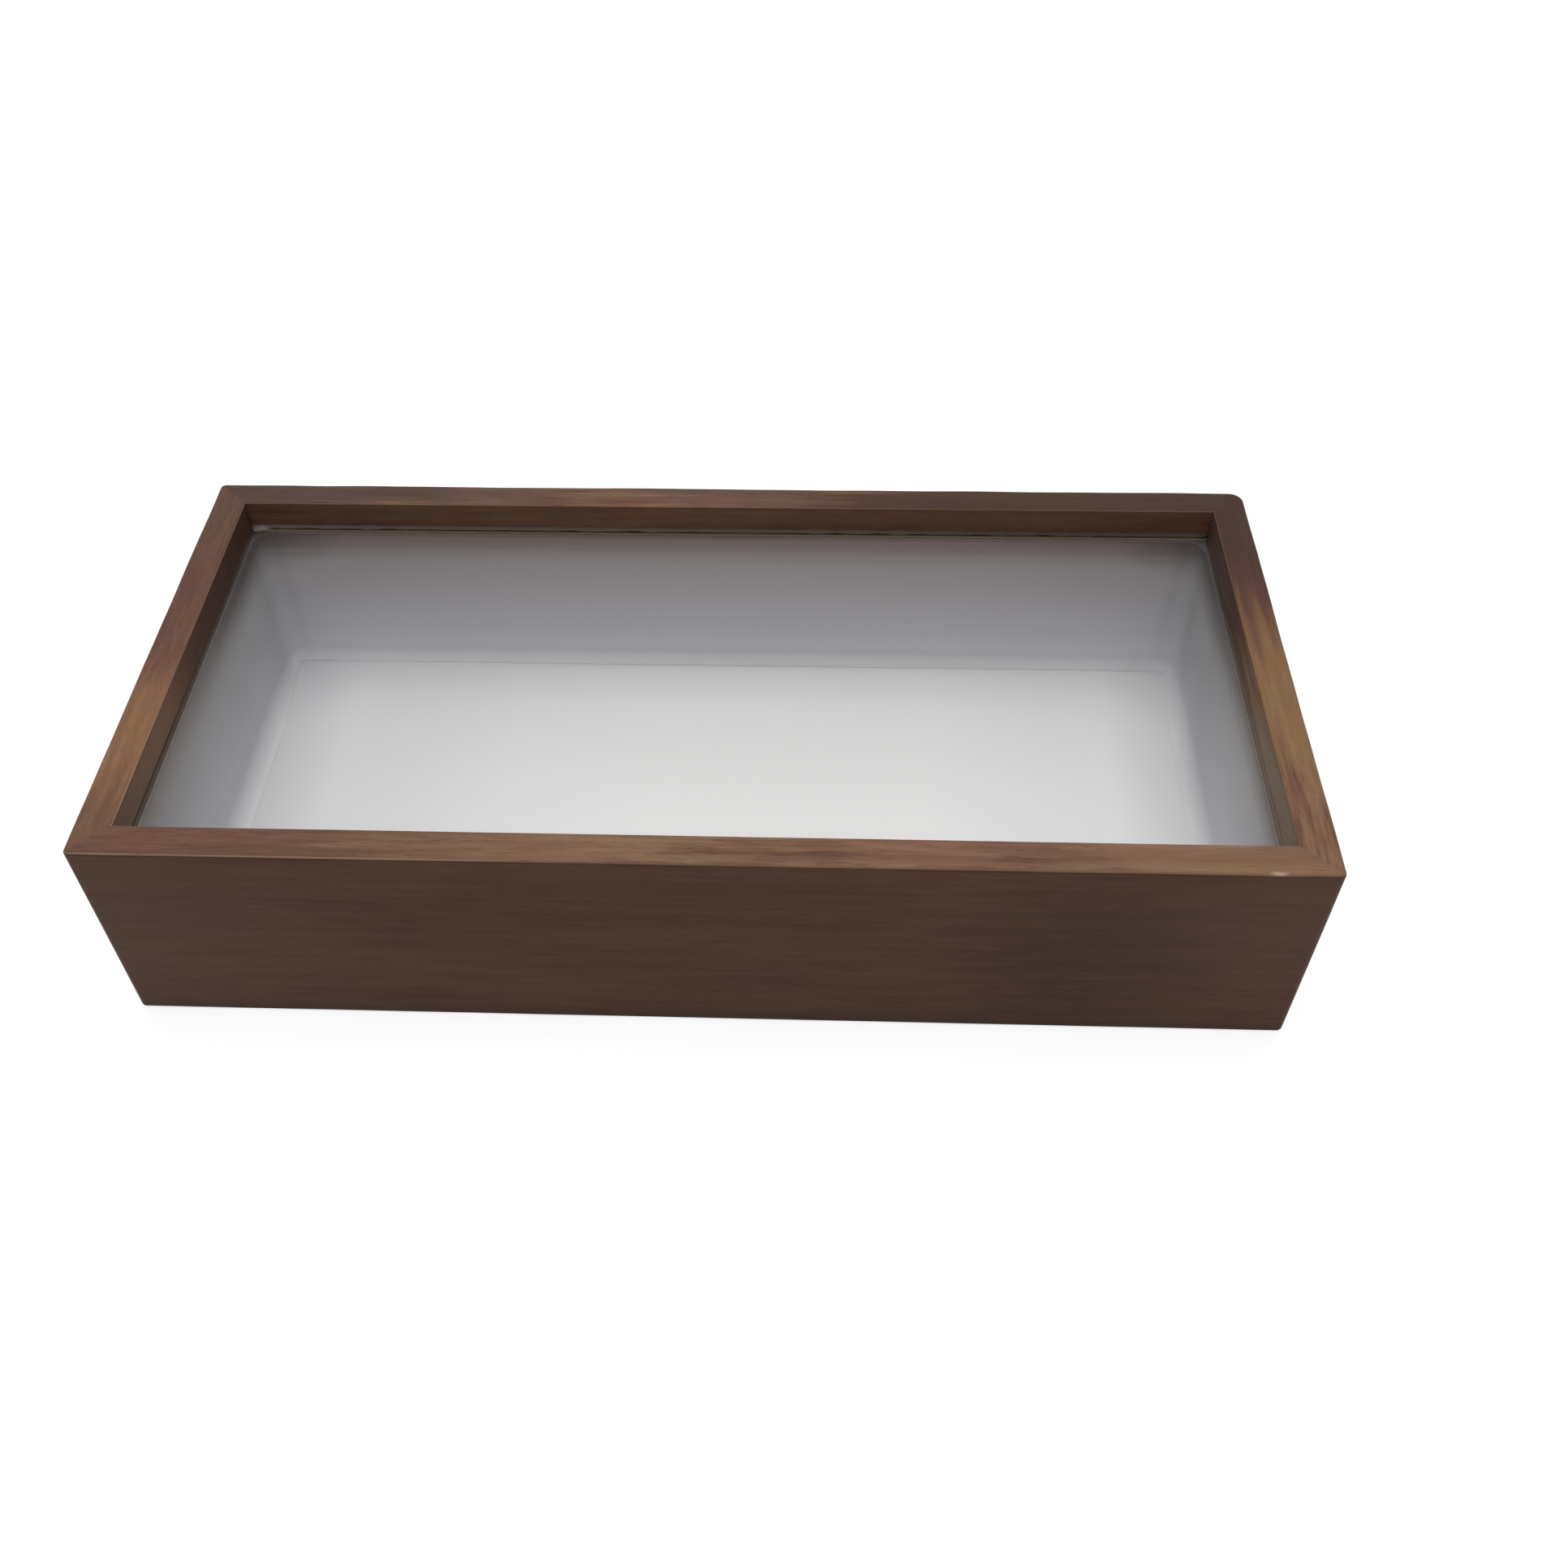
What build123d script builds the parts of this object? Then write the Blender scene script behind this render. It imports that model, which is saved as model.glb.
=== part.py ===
from build123d import *
import os

# Butterfly display case: a shallow mitred wooden case with a fixed glass top.
#
# Four rails make the case. A groove near their top holds the glass pane, white card strips
# line their inside, and a rebate round their foot takes the base: a thin board with a white
# facing, which comes out downwards. Four turn buttons hold the base in. Each one swings on
# a screw in its own pocket in the foot of a long rail, and nothing stands below the rails.
#
# Millimetres. +X along the case, +Y to the back, +Z up. The origin is the centre of the
# footprint, on the surface that the case stands on.

# Outside of the case
case_length = 150.0
case_depth = 75.0
case_height = 30.0
corner_radius = 1.6
arris_radius = 0.5

# Rails
rail_width = 4.8
lip_height = 4.0
lip_arris_radius = 0.3

# Glazing
pane_thickness = 1.2
pane_groove_depth = 1.5
pane_edge_play = 0.25
pane_top_play = 0.1
pane_arris = 0.15

# White card lining
liner_thickness = 0.45
liner_end_play = 0.05

# Base
board_thickness = 1.0
board_edge_play = 0.15
facing_thickness = 0.15

# Turn buttons
button_thickness = 0.35
button_reach = 6.5
button_root_radius = 1.0
button_tip_radius = 0.75
button_spacing = 84.0
button_flat_play = 0.05
button_hole_play = 0.05

# Pockets in the rails that the buttons fold into
pocket_skin = 0.8
pocket_side_play = 0.1
pocket_end_play = 0.25

# Screws that the buttons turn on
screw_radius = 0.45
screw_length = 5.5
screw_point_height = 1.0
screw_pilot_play = 0.02
screw_head_radius = 0.85
screw_head_height = 0.3
screw_head_bevel = 0.12
screw_slot_width = 0.25
screw_slot_depth = 0.15
screw_table_clearance = 0.1

# Brads across the mitres
brad_width = 0.8
brad_thickness = 0.6
brad_length = 8.0
brad_point_length = 1.0
brad_cover = 0.4
brad_play = 0.02
lower_brad_height = 9.0
upper_brad_height = 19.0

# Heights, from the table up
button_bottom = screw_table_clearance + screw_head_height
button_top = button_bottom + button_thickness
board_bottom = button_top + button_flat_play
board_top = board_bottom + board_thickness
floor_top = board_top + facing_thickness
pane_top = case_height - lip_height
pane_bottom = pane_top - pane_thickness
lip_brad_height = case_height - lip_height / 2

# Widths, inwards from the outer face of a rail
pivot_inset = pocket_skin + pocket_side_play + button_root_radius
ledge_width = pivot_inset + button_root_radius + pocket_side_play
rebate_width = rail_width - ledge_width

# Plan sizes between opposite rails
opening_length = case_length - 2 * rail_width
opening_depth = case_depth - 2 * rail_width

# Quarter turns that carry a piece made for the front side round to each side
SIDE_TURNS = {"front": 0, "right": 90, "back": 180, "left": 270}
LONG_SIDES = ("front", "back")
ON_FLOOR = (Align.CENTER, Align.CENTER, Align.MIN)
FROM_CORNER = (Align.MIN, Align.MIN)


def slab(length, depth, bottom, top):
    """A block centred on the case, between two heights."""
    return Pos(0, 0, bottom) * Box(length, depth, top - bottom, align=ON_FLOOR)


def on_side(side, inset, shape):
    """Move a shape made at the origin, facing -Y, to a side, at an inset from the outer face."""
    half_span = (case_depth if side in LONG_SIDES else case_length) / 2
    return Rot(0, 0, SIDE_TURNS[side]) * Pos(0, inset - half_span, 0) * shape


def sanded_case():
    """The outside of the glued-up case, with its corners and arrises sanded round."""
    block = slab(case_length, case_depth, 0, case_height)
    block = fillet(block.edges().filter_by(Axis.Z), corner_radius)
    top_and_bottom = block.faces().filter_by(Axis.Z)
    return fillet(top_and_bottom.edges(), arris_radius)


def rail_section():
    """Section of a rail. X runs inwards from the outer face, Y runs up."""
    section = Rectangle(rail_width, case_height, align=FROM_CORNER)
    groove_height = pane_thickness + pane_top_play
    groove = Rectangle(pane_groove_depth, groove_height, align=FROM_CORNER)
    section -= Pos(rail_width - pane_groove_depth, pane_bottom) * groove
    section -= Pos(ledge_width, 0) * Rectangle(rebate_width, floor_top, align=FROM_CORNER)
    lip_edge = section.vertices().group_by(Axis.Y)[-1].sort_by(Axis.X)[-1]
    return fillet(lip_edge, lip_arris_radius)


def mitred_rail(side):
    """One rail, cut to 45 degrees at both ends and rounded with the rest of the case."""
    length = case_length if side in LONG_SIDES else case_depth
    stock = extrude(Plane.YZ * rail_section(), length / 2, both=True)
    mitre = Polyline(
        (-length / 2, 0),
        (length / 2, 0),
        (length / 2 - rail_width, rail_width),
        (rail_width - length / 2, rail_width),
        close=True,
    )
    stock &= extrude(make_face(mitre), case_height)
    return on_side(side, 0, stock) & sanded_case()


def brad_places():
    """Head of each brad, just under a side rail's outer face, with Z the way it is driven."""
    places = []
    for x_side in (-1, 1):
        head_x = x_side * (case_length / 2 - brad_cover)
        for y_side in (-1, 1):
            head_y = y_side * (case_depth - rail_width) / 2
            for height in (lower_brad_height, upper_brad_height, lip_brad_height):
                head = Plane((head_x, head_y, height), x_dir=(0, 0, 1), z_dir=(-x_side, 0, 0))
                places.append(head.location)
    return places


def corner_brads():
    """Flat headless brads with chisel points, driven through the mitres below the finish."""
    side_view = Polyline(
        (-brad_width / 2, 0),
        (brad_width / 2, 0),
        (brad_width / 2, brad_length - brad_point_length),
        (0, brad_length),
        (-brad_width / 2, brad_length - brad_point_length),
        close=True,
    )
    brad = extrude(Plane.XZ * make_face(side_view), brad_thickness / 2, both=True)
    return Compound(children=[place * brad for place in brad_places()])


def brad_holes():
    """The holes that the brads make, closed at both ends."""
    width = brad_width + 2 * brad_play
    thickness = brad_thickness + 2 * brad_play
    hole = Pos(0, 0, -brad_play) * Box(width, thickness, brad_length + 2 * brad_play, align=ON_FLOOR)
    return [place * hole for place in brad_places()]


def glass_pane():
    """The pane, captive in the groove, with its edges seamed."""
    reach = 2 * (pane_groove_depth - pane_edge_play)
    pane = slab(opening_length + reach, opening_depth + reach, pane_bottom, pane_top)
    return chamfer(pane.edges(), pane_arris)


def liner_strip(side):
    """A card strip on a rail's inner face. The side strips butt against the long ones."""
    length = opening_length if side in LONG_SIDES else opening_depth - 2 * liner_thickness
    height = pane_bottom - floor_top - 2 * liner_end_play
    strip = Box(length, liner_thickness, height, align=(Align.CENTER, Align.MIN, Align.MIN))
    return on_side(side, rail_width, Pos(0, 0, floor_top + liner_end_play) * strip)


def base_panel(bottom, thickness):
    """A sheet that fills the rebate, less its play."""
    grow = 2 * (rebate_width - board_edge_play)
    return slab(opening_length + grow, opening_depth + grow, bottom, bottom + thickness)


def button_places():
    """Each turn button's name, and its pivot with X along the folded button."""
    places = {}
    for y_name, y_side in (("front", -1), ("back", 1)):
        for x_name, x_side in (("left", -1), ("right", 1)):
            pivot = Pos(x_side * button_spacing / 2, y_side * (case_depth / 2 - pivot_inset), 0)
            heading = 0 if x_side < 0 else 180
            places[f"{y_name}_{x_name}_turn_button"] = pivot * Rot(0, 0, heading)
    return places


def turn_button():
    """A tapered plate with round ends, folded along its rail, turning at its wide end."""
    root = Circle(button_root_radius)
    tip = Pos(button_reach - button_tip_radius, 0) * Circle(button_tip_radius)
    outline = make_hull(root.edges() + tip.edges())
    outline -= Circle(screw_radius + button_hole_play)
    return Pos(0, 0, button_bottom) * extrude(outline, button_thickness)


def button_pocket():
    """The room that a folded button needs in the foot of its rail."""
    back = button_root_radius + pocket_end_play
    length = back + button_reach + pocket_end_play
    width = 2 * (button_root_radius + pocket_side_play)
    pocket = Box(length, width, board_bottom, align=(Align.MIN, Align.CENTER, Align.MIN))
    pilot = Cylinder(screw_radius + screw_pilot_play, screw_length + button_bottom, align=ON_FLOOR)
    return Pos(-back, 0, 0) * pocket + pilot


def button_screw():
    """A cheese-head screw, driven upwards, with a slot across its head."""
    tip_top = button_bottom + screw_length
    half_outline = Polyline(
        (0, screw_table_clearance),
        (screw_head_radius, screw_table_clearance),
        (screw_head_radius, button_bottom),
        (screw_radius, button_bottom),
        (screw_radius, tip_top - screw_point_height),
        (0, tip_top),
        close=True,
    )
    screw = revolve(Plane.XZ * make_face(half_outline), Axis.Z)
    screw = chamfer(screw.edges().filter_by(GeomType.CIRCLE).sort_by(Axis.Z)[0], screw_head_bevel)
    slot = Box(2 * screw_head_radius, screw_slot_width, screw_slot_depth, align=ON_FLOOR)
    return screw - Pos(0, 0, screw_table_clearance) * slot


def save(name, shape):
    """Write one sub-part."""
    shape.label = name
    export_step(shape, f"parts/{name}.step")


os.makedirs("parts", exist_ok=True)

buttons = button_places()
cuts = brad_holes() + [place * button_pocket() for place in buttons.values()]
for side_name in SIDE_TURNS:
    save(f"{side_name}_rail", mitred_rail(side_name) - cuts)
    save(f"{side_name}_liner", liner_strip(side_name))

save("corner_brads", corner_brads())
save("glass_pane", glass_pane())
save("base_board", base_panel(board_bottom, board_thickness))
save("floor_facing", base_panel(board_top, facing_thickness))

for button_name, place in buttons.items():
    save(button_name, place * turn_button())
save("button_screws", Compound(children=[place * button_screw() for place in buttons.values()]))
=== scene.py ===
import math

import bmesh
import bpy
from mathutils import Matrix, Vector
from mathutils.noise import noise as field


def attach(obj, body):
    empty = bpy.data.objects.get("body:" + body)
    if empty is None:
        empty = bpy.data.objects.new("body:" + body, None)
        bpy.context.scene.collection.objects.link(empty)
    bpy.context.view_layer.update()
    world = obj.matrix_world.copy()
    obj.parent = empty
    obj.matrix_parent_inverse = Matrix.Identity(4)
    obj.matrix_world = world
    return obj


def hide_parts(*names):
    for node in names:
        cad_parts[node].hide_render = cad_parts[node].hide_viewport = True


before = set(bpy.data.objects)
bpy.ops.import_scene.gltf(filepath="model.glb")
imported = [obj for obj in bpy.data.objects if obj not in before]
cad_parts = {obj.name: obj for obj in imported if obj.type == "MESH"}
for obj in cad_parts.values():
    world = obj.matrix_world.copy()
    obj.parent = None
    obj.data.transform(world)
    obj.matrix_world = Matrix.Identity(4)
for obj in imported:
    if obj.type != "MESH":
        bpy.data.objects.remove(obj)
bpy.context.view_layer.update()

MM = 0.001

# Sizes and places are in millimetres, on the CAD's axes, unless they say otherwise

# The case
CASE_LENGTH = 150.0
CASE_DEPTH = 75.0
CASE_HEIGHT = 30.0
RAIL_WIDTH = 4.8
LIP_FOOT = 26.03
PANE_TOP = 26.0
PANE_BOTTOM = 24.8
GROOVE_DEPTH = 1.5
FLOOR_TOP = 1.95
REBATE_INSET = 3.0
POCKET_INSET = 0.8
POCKET_TOP = 0.8
POCKET_NEAR = 35.25
POCKET_FAR = 43.25
POCKET_STARTS = (-POCKET_FAR, POCKET_NEAR)
POCKET_ENDS = (-POCKET_NEAR, POCKET_FAR)

# How the rails are rounded and worn
FOOT_ARRIS = 0.5
TOP_ARRIS = 0.5
ARRIS_CHANGE = 0.14
LIP_ARRIS = 0.35
WEAR_DEPTH = 0.05
WEAR_LENGTH = 14.0
MITRE_GROOVE = 0.02
CORNER_RADII = {"front_right": 0.85, "back_right": 2.0, "back_left": 0.9, "front_left": 0.75}
CHIP_PLACE = (67.3, -37.15, 30.0)
CHIP_LENGTH = 0.95
CHIP_SQUASH = 3
CHIP_DEPTH = 0.22

# The card strips
LINER_THICKNESS = 0.45
LINER_FOOT = 2.0
LINER_TOP = 24.75
LINER_EDGE = 0.12
LINER_CORNER = 2.6
LINER_ROUND_PLAY = 0.01
LINER_COVE = 1.6
LINER_SIDE_COVE = 2.5
COVE_CHANGE_LENGTH = 12.0
COVE_CHANGE_START = 0.2
LINER_BOW = 0.06
LINER_BOW_FADE = 20.0

# Where the skins of the rails and the card strips have their rings, with angles in degrees
RING_STEP = 2.0
CORNER_RUN = 14.0
CORNER_RUN_STEPS = 8
CORNER_ZONE = 0.9
MITRE_ANGLE = 45
CORNER_ANGLES = (9, 18, 27, 36, 42, MITRE_ANGLE)

SIDES = ("front", "right", "back", "left")
LONG_SIDES = ("front", "back")
CORNERS = ("front_right", "back_right", "back_left", "front_left")

# The camera: its angles are in degrees, and its shift is in widths of the picture
CAMERA_PLACE = Vector((12.76, -158.04, 161.39)) * MM
CAMERA_HEADING = 3.502
CAMERA_TILT = 38.977
CAMERA_ROLL = -1.550
CAMERA_LENS = 35.263
CAMERA_SENSOR = 36.0
CAMERA_SHIFT = (0.0260, 0.1137)
CAMERA_NEAR = 10.0


def add_camera():
    """A hand-held view from above the front edge."""
    camera = bpy.data.objects.new("camera", bpy.data.cameras.new("camera"))
    camera.data.lens = CAMERA_LENS
    camera.data.sensor_width = CAMERA_SENSOR
    camera.data.shift_x, camera.data.shift_y = CAMERA_SHIFT
    camera.data.clip_start = CAMERA_NEAR * MM
    turn = Matrix.Rotation(math.radians(CAMERA_HEADING), 4, "Z")
    turn @= Matrix.Rotation(math.radians(CAMERA_TILT), 4, "X")
    turn @= Matrix.Rotation(math.radians(CAMERA_ROLL), 4, "Z")
    camera.matrix_world = Matrix.Translation(CAMERA_PLACE) @ turn
    bpy.context.scene.collection.objects.link(camera)
    bpy.context.scene.camera = camera


add_camera()
bpy.context.scene.view_settings.view_transform = "Standard"


# ---------------------------------------------------------------- node helpers


def new_material(name):
    """An empty node material and its tree."""
    material = bpy.data.materials.new(name)
    material.use_nodes = True
    material.node_tree.nodes.clear()
    return material, material.node_tree


def add(tree, kind, inputs=None, **settings):
    """Add a node, with its inputs set to values or joined to other nodes' outputs."""
    node = tree.nodes.new(kind)
    for name, value in settings.items():
        setattr(node, name, value)
    for name, value in (inputs or {}).items():
        if isinstance(value, bpy.types.NodeSocket):
            tree.links.new(value, node.inputs[name])
        else:
            node.inputs[name].default_value = value
    return node


def finish_tree(tree, shader):
    """Join a shader to the material's output."""
    add(tree, "ShaderNodeOutputMaterial", {"Surface": shader})


def principled(tree, inputs):
    """A Principled shader with those inputs."""
    return add(tree, "ShaderNodeBsdfPrincipled", inputs).outputs["BSDF"]


def mix_shaders(tree, share, a, b):
    """Shader a where the share is 0, and b where it is 1."""
    return add(tree, "ShaderNodeMixShader", {0: share, 1: a, 2: b}).outputs[0]


def calculate(tree, operation, *values):
    """One step of arithmetic on numbers."""
    return add(tree, "ShaderNodeMath", dict(enumerate(values)), operation=operation).outputs[0]


def product(tree, total, *others):
    """All the values multiplied together."""
    for other in others:
        total = calculate(tree, "MULTIPLY", total, other)
    return total


def vector_step(tree, operation, *vectors):
    """One step of arithmetic on vectors, which gives a number for a length or a distance."""
    node = add(tree, "ShaderNodeVectorMath", dict(enumerate(vectors)), operation=operation)
    return node.outputs["Value" if operation in ("LENGTH", "DISTANCE") else "Vector"]


def split(tree, vector):
    """The X, Y and Z of a vector."""
    return add(tree, "ShaderNodeSeparateXYZ", {0: vector}).outputs


def object_coords(tree):
    """Coordinates fixed to the piece, in metres."""
    return add(tree, "ShaderNodeTexCoord").outputs["Object"]


def object_place(tree, scale, turn=0.0, offset=(0, 0, 0)):
    """Coordinates fixed to the piece, turned about Z, moved by offset and stretched by scale."""
    changes = {"Vector": object_coords(tree), "Rotation": (0, 0, turn), "Location": offset}
    turned = add(tree, "ShaderNodeMapping", changes).outputs[0]
    return add(tree, "ShaderNodeMapping", {"Vector": turned, "Scale": scale}).outputs[0]


def gap_to(tree, place, centre, stretch=(1, 1, 1)):
    """Distance in metres from a centre in millimetres, with each axis stretched."""
    scaled = vector_step(tree, "MULTIPLY", place, stretch)
    middle = Vector([value * scale for value, scale in zip(centre, stretch)]) * MM
    return vector_step(tree, "DISTANCE", scaled, middle)


def noise(tree, place, detail=3.0, roughness=0.55, distortion=0.0):
    """Noise of one cycle per unit of place, from 0 to 1."""
    character = {"Detail": detail, "Roughness": roughness, "Distortion": distortion}
    node = add(tree, "ShaderNodeTexNoise", {"Vector": place, "Scale": 1.0, **character})
    return node.outputs["Fac"]


def spread(tree, value, low, high, to_low=0.0, to_high=1.0):
    """Stretch low..high to to_low..to_high, clamped."""
    limits = {"From Min": low, "From Max": high, "To Min": to_low, "To Max": to_high}
    return add(tree, "ShaderNodeMapRange", {"Value": value, **limits}).outputs["Result"]


def fade(tree, place, low, high, to_low=0.0, to_high=1.0):
    """Spread a place in metres between two limits in millimetres."""
    return spread(tree, place, low * MM, high * MM, to_low, to_high)


def mix_colours(tree, share, a, b):
    """Colour a where the share is 0, and b where it is 1."""
    node = add(tree, "ShaderNodeMix", data_type="RGBA")
    # The node has an A and a B for every kind of data, so its inputs go by number
    for index, value in ((0, share), (6, a), (7, b)):
        if isinstance(value, bpy.types.NodeSocket):
            tree.links.new(value, node.inputs[index])
        else:
            node.inputs[index].default_value = value
    return node.outputs[2]


def lay_over(tree, colour, layers):
    """Lay tones over a colour in turn, each with its own share."""
    for share, tone in layers:
        colour = mix_colours(tree, share, colour, tone)
    return colour


def bump(tree, height, depth, normal=None):
    """A bump of that depth in metres."""
    inputs = {"Height": height, "Distance": depth, "Strength": 1.0}
    if normal is not None:
        inputs["Normal"] = normal
    return add(tree, "ShaderNodeBump", inputs).outputs["Normal"]


def colour_along(tree, place, stops):
    """A colour that runs through the stops, each a place in millimetres and a colour."""
    lowest, highest = stops[0][0], stops[-1][0]
    ramp = add(tree, "ShaderNodeValToRGB", {"Fac": fade(tree, place, lowest, highest)})
    elements = ramp.color_ramp.elements
    elements[0].color = stops[0][1]
    elements[1].color = stops[-1][1]
    for stop, colour in stops[1:-1]:
        elements.new((stop - lowest) / (highest - lowest)).color = colour
    return ramp.outputs["Color"]


def linear(red, green, blue):
    """A colour written as 8-bit sRGB, as the shaders take it."""
    def one(value):
        value /= 255
        return value / 12.92 if value <= 0.04045 else ((value + 0.055) / 1.055) ** 2.4

    return (one(red), one(green), one(blue), 1.0)


def rays(tree, *kinds):
    """1 for the kinds of ray named, 0 for the others."""
    path = add(tree, "ShaderNodeLightPath")
    total = path.outputs[kinds[0]]
    for kind in kinds[1:]:
        total = calculate(tree, "MAXIMUM", total, path.outputs[kind])
    return total


# ---------------------------------------------------------------- stage and light

# In metres and watts
FLOOR_SIZE = 4.0
FLOOR_NEAR = 0.2
FLOOR_FAR = 0.9
KEY_PLACE = (0, 0.06, 0.62)
KEY_SIZE = (0.7, 0.66)
KEY_POWER = 5.05

WHITE = (1, 1, 1, 1)
FLOOR_BOUNCE = (0.50, 0.515, 0.57, 1)
FLOOR_FAINT = (0.36, 0.365, 0.39, 1)
FLOOR_GLOW_NEAR = 0.8
SEEN = ("Is Camera Ray", "Is Glossy Ray", "Is Transmission Ray")


def add_floor():
    """A floor that looks white but for the shadow on it, and bounces a duller, cooler light."""
    mesh = bpy.data.meshes.new("floor")
    h = FLOOR_SIZE / 2
    mesh.from_pydata([(-h, -h, 0), (h, -h, 0), (h, h, 0), (-h, h, 0)], [], [(0, 1, 2, 3)])
    floor = bpy.data.objects.new("floor", mesh)
    bpy.context.scene.collection.objects.link(floor)
    material, tree = new_material("floor")
    plain = add(tree, "ShaderNodeBsdfDiffuse", {"Color": FLOOR_BOUNCE}).outputs[0]
    away = vector_step(tree, "LENGTH", object_coords(tree))
    strength = spread(tree, away, FLOOR_NEAR, FLOOR_FAR, FLOOR_GLOW_NEAR, 1.0)
    glow = add(tree, "ShaderNodeEmission", {"Color": WHITE, "Strength": strength}).outputs[0]
    faint = add(tree, "ShaderNodeBsdfDiffuse", {"Color": FLOOR_FAINT}).outputs[0]
    seen = add(tree, "ShaderNodeAddShader", {0: faint, 1: glow}).outputs[0]
    finish_tree(tree, mix_shaders(tree, rays(tree, *SEEN), plain, seen))
    mesh.materials.append(material)


def set_world():
    """White to the rays that show it, and no light to the others."""
    world = bpy.data.worlds.new("studio")
    bpy.context.scene.world = world
    world.use_nodes = True
    tree = world.node_tree
    tree.nodes.clear()
    glow = add(tree, "ShaderNodeBackground", {"Color": WHITE, "Strength": rays(tree, *SEEN)})
    add(tree, "ShaderNodeOutputWorld", {"Surface": glow.outputs[0]})


def add_softbox(name, place, size, power):
    """A rectangular light aimed at the middle of the case's foot."""
    light = bpy.data.lights.new(name, "AREA")
    light.shape = "RECTANGLE"
    light.size, light.size_y = size
    light.energy = power
    lamp = bpy.data.objects.new(name, light)
    lamp.location = place
    lamp.rotation_euler = (-Vector(place)).to_track_quat("-Z", "Y").to_euler()
    bpy.context.scene.collection.objects.link(lamp)


add_floor()
set_world()
add_softbox("key", KEY_PLACE, KEY_SIZE, KEY_POWER)


# ---------------------------------------------------------------- stained wood

WOOD_TONES = {
    "red_patch": linear(114, 73, 61),
    "olive_patch": linear(126, 97, 70),
    "figure": linear(74, 52, 43),
    "pale_fleck": linear(139, 107, 83),
    "dark_fleck": linear(78, 52, 43),
    "fibre": linear(126, 98, 76),
    "pore": linear(48, 33, 26),
    "lip_shade": linear(40, 28, 25),
    # Bare wood in the groove under the lip, toned lighter than it is to paint light into the groove's
    # shade; on the side rails it runs from painted shade at the back to painted light at the front
    # right
    "raw_long_rail_painted_light": linear(176, 158, 138),
    "raw_side_painted_shade": linear(92, 80, 72),
    "raw_side_painted_light": linear(150, 132, 120),
    # Painted shade toward the foot
    "foot": linear(58, 42, 36),
    # Lighter along the top arrises: wear and a painted highlight
    "rubbed_highlight": linear(148, 120, 98),
    "bright_rubbed_highlight": linear(178, 146, 124),
    "shaded": linear(50, 32, 26),
    "chip": linear(191, 168, 148),
}

# Where the stain took unevenly, and painted shade: in the side and long lists the first two rows
# darken the back corners, with painted shade as much as stain. Each row is a centre, the distances
# from it where the tone starts to thin and where it ends, its share at the centre, and the tone
SIDE_STAINS_AND_SHADE = [
    ((75, 37.5, 30), 26, 68, 0.92, linear(54, 34, 28)),
    ((-75, 37.5, 30), 12, 60, 0.66, linear(66, 43, 38)),
    ((73, 11, 30), 4, 12, 0.5, linear(90, 56, 48)),
    ((73, -8, 30), 7, 21, 0.62, linear(144, 110, 74)),
    ((-73, 4, 30), 9, 19, 0.5, linear(96, 62, 52)),
    ((-73, -17, 30), 7, 17, 0.45, linear(148, 108, 74)),
    ((-73, -36, 30), 5, 15, 0.5, linear(90, 61, 50)),
]
LONG_STAINS_AND_SHADE = [
    ((75, 37.5, 30), 50, 82, 0.88, linear(54, 34, 28)),
    ((-75, 37.5, 30), 20, 68, 0.84, linear(66, 49, 44)),
    ((-66, -35, 30), 12, 36, 0.55, linear(92, 63, 52)),
    ((60, -35, 30), 8, 22, 0.5, linear(148, 112, 86)),
    ((-16, -35, 30), 5, 16, 0.35, linear(142, 112, 86)),
    ((28, -35, 30), 2, 9, 0.35, linear(142, 108, 86)),
    ((-28, -35, 30), 3, 9, 0.22, linear(96, 66, 54)),
    ((1, 35, 30), 7, 15, 0.36, linear(82, 70, 63)),
    ((-34, 35, 30), 2, 8, 0.12, linear(146, 114, 98)),
]
# On the front face: painted light toward both ends, and one dark stain
FACE_STAINS_AND_LIGHT = [
    ((-73, -37.5, 18), 8, 40, 0.24, linear(160, 125, 108)),
    ((73, -37.5, 22), 5, 18, 0.22, linear(160, 125, 108)),
    ((47, -37.5, 14), 6, 20, 0.35, linear(56, 46, 46)),
]
# On the side rails' lip faces: painted light that makes them lighter and greyer, most toward the
# front, and painted shade at the back of the left lip
LIP_PAINTED_LIGHT_AND_SHADE = [
    ((70.2, -26, 28), 8, 30, 0.63, linear(158, 142, 124)),
    ((70.2, 24, 28), 4, 14, 0.3, linear(112, 96, 92)),
    ((-70.2, -26, 28), 6, 26, 0.3, linear(142, 124, 108)),
    ((-70.2, 22, 28), 16, 32, 0.3, linear(40, 28, 25)),
]
# Where the arris is lightest, at the front left: wear and a painted highlight
BRIGHT_RUBBED_HIGHLIGHT = ((-52, -37.5, 30), 16, 34, 0.55)
CHIPPED = (CHIP_PLACE, 0.5, 1.0, 0.75)
CHIP_STRETCH = (0.8, 3.2, 1.5)

# Insets from the outer face, and heights, between which one part of a rail gives way to another
TO_LIP_FACE = (4.4, 4.7)
TO_RAW_WOOD = (0.9, 1.1)
INTO_GROOVE = (26.09, 26.04)
OFF_THE_TABLE = (0.2, 0.3)
# Below these heights the foot takes painted shade
INTO_FOOT_SHADE = (2.4, 0.8)

LIP_SHADED = (4.5, 4.8, 0, 0.35)
LIP_SHADED_BACK = (-10, 15)
# Where the side rails' bare groove wood takes painted light: toward the front and the right
RAW_PAINTED_LIGHT_FRONT = (18, -12)
RAW_PAINTED_LIGHT_RIGHT = (-60, 60, 0.4, 1.0)

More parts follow.
